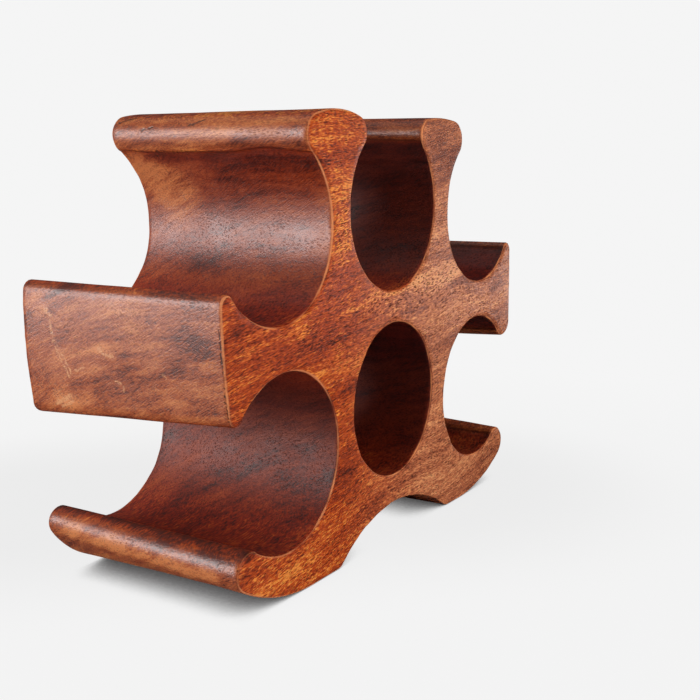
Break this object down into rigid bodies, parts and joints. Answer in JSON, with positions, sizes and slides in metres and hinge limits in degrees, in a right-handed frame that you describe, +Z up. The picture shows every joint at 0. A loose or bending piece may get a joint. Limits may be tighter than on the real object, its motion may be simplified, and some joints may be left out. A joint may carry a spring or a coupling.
{
  "type": "bottle rack",
  "caption": "Tabletop bottle rack carved from one block of hardwood, with a bored hole, an open notch between two horns, and open cradles at its corners.",
  "frame": {"origin": "on the ground, under the middle of the block", "axes": "+X to the right along the block's width, +Y from the front face to the back face along the bottles, +Z up"},
  "size_m": [0.3043, 0.118, 0.2314],
  "materials": {
    "oiled_hardwood": "satin oil finish with open pores, rubbed pale along its edges"
  },
  "bodies": {
    "root": {"rack_body": "oiled_hardwood"}
  },
  "joints": []
}
